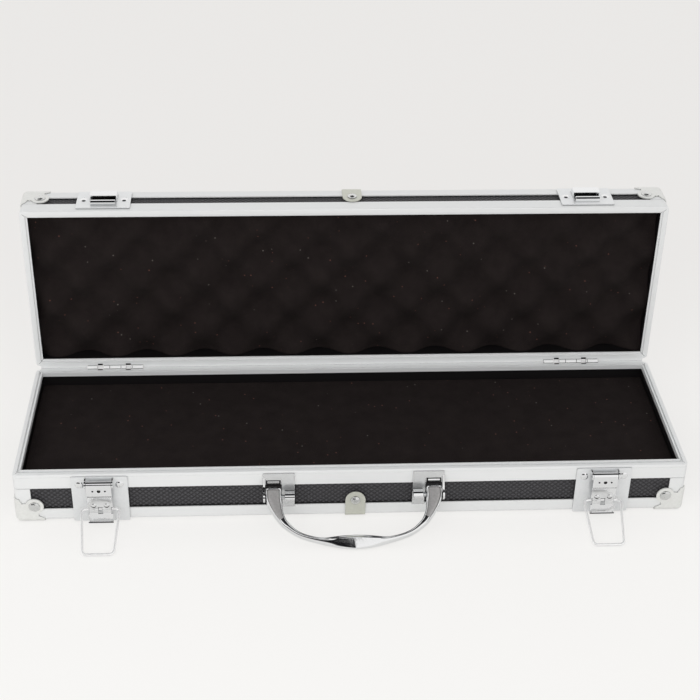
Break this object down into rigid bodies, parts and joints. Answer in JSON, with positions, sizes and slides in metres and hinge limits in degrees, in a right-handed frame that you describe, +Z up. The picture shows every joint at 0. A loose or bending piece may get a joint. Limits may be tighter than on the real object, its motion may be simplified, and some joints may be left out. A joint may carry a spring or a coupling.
{
  "type": "aluminium tool case",
  "caption": "Slim hinged tool case with aluminium edge frames, dark boards, draw latches, folding handle and foam pads; shown open.",
  "frame": {"origin": "on the table, under the middle of the base tray", "axes": "+X to the right along the length, +Y to the back, +Z up; the front with handle and latches faces -Y"},
  "size_m": [0.465, 0.2024, 0.1767],
  "materials": {
    "aluminium": "satin anodised, brushed lengthways",
    "plated_steel": "bright plated",
    "steel": "bright",
    "board": "fine embossed sheet on board",
    "foam": "open-cell foam"
  },
  "bodies": {
    "base": {"base_rim": "aluminium", "base_rail": "aluminium", "base_front_panel": "board", "base_back_panel": "board", "base_left_panel": "board", "base_right_panel": "board", "base_bottom_panel": "board", "base_front_left_post": "aluminium", "base_front_left_corner": "aluminium", "base_front_right_post": "aluminium", "base_front_right_corner": "aluminium", "base_back_left_post": "aluminium", "base_back_left_corner": "aluminium", "base_back_right_post": "aluminium", "base_back_right_corner": "aluminium", "base_foam": "foam", "base_clip": "aluminium", "base_clip_rivet": "steel", "left_latch_plate": "plated_steel", "left_latch_pin": "steel", "left_hinge_base_leaf": "steel", "left_hinge_pin": "steel", "left_handle_bracket": "plated_steel", "left_handle_pin": "steel", "right_latch_plate": "plated_steel", "right_latch_pin": "steel", "right_hinge_base_leaf": "steel", "right_hinge_pin": "steel", "right_handle_bracket": "plated_steel", "right_handle_pin": "steel"},
    "lid": {"lid_rim": "aluminium", "lid_rail": "aluminium", "lid_front_panel": "board", "lid_back_panel": "board", "lid_left_panel": "board", "lid_right_panel": "board", "lid_top_panel": "board", "lid_front_left_post": "aluminium", "lid_front_left_corner": "aluminium", "lid_front_right_post": "aluminium", "lid_front_right_corner": "aluminium", "lid_back_left_post": "aluminium", "lid_back_left_corner": "aluminium", "lid_back_right_post": "aluminium", "lid_back_right_corner": "aluminium", "lid_foam": "foam", "lid_clip": "aluminium", "lid_clip_rivet": "steel", "left_keeper": "plated_steel", "left_hinge_lid_leaf": "steel", "right_keeper": "plated_steel", "right_hinge_lid_leaf": "steel"},
    "handle": {"handle": "plated_steel"},
    "left_lever": {"left_latch_lever": "plated_steel"},
    "left_bail": {"left_latch_bail": "plated_steel"},
    "right_lever": {"right_latch_lever": "plated_steel"},
    "right_bail": {"right_latch_bail": "plated_steel"}
  },
  "joints": [
    {"name": "lid_hinge", "type": "hinge", "parent": "base", "child": "lid", "pos_m": [0, 0.066, 0.0402], "axis": [-1, 0, 0], "range_deg": [-90, 0]},
    {"name": "handle_swing", "type": "hinge", "parent": "base", "child": "handle", "pos_m": [0, -0.0706, 0.023], "axis": [1, 0, 0], "range_deg": [-116, 50]},
    {"name": "left_lever_swing", "type": "hinge", "parent": "base", "child": "left_lever", "pos_m": [-0.172, -0.0693, 0.035], "axis": [-1, 0, 0], "range_deg": [0, 120]},
    {"name": "right_lever_swing", "type": "hinge", "parent": "base", "child": "right_lever", "pos_m": [0.172, -0.0693, 0.035], "axis": [-1, 0, 0], "range_deg": [0, 120]},
    {"name": "left_bail_swing", "type": "hinge", "parent": "left_lever", "child": "left_bail", "pos_m": [-0.172, -0.0694, 0.0144], "axis": [1, 0, 0], "range_deg": [-116.6, 65]},
    {"name": "right_bail_swing", "type": "hinge", "parent": "right_lever", "child": "right_bail", "pos_m": [0.172, -0.0694, 0.0144], "axis": [1, 0, 0], "range_deg": [-116.6, 65]}
  ]
}
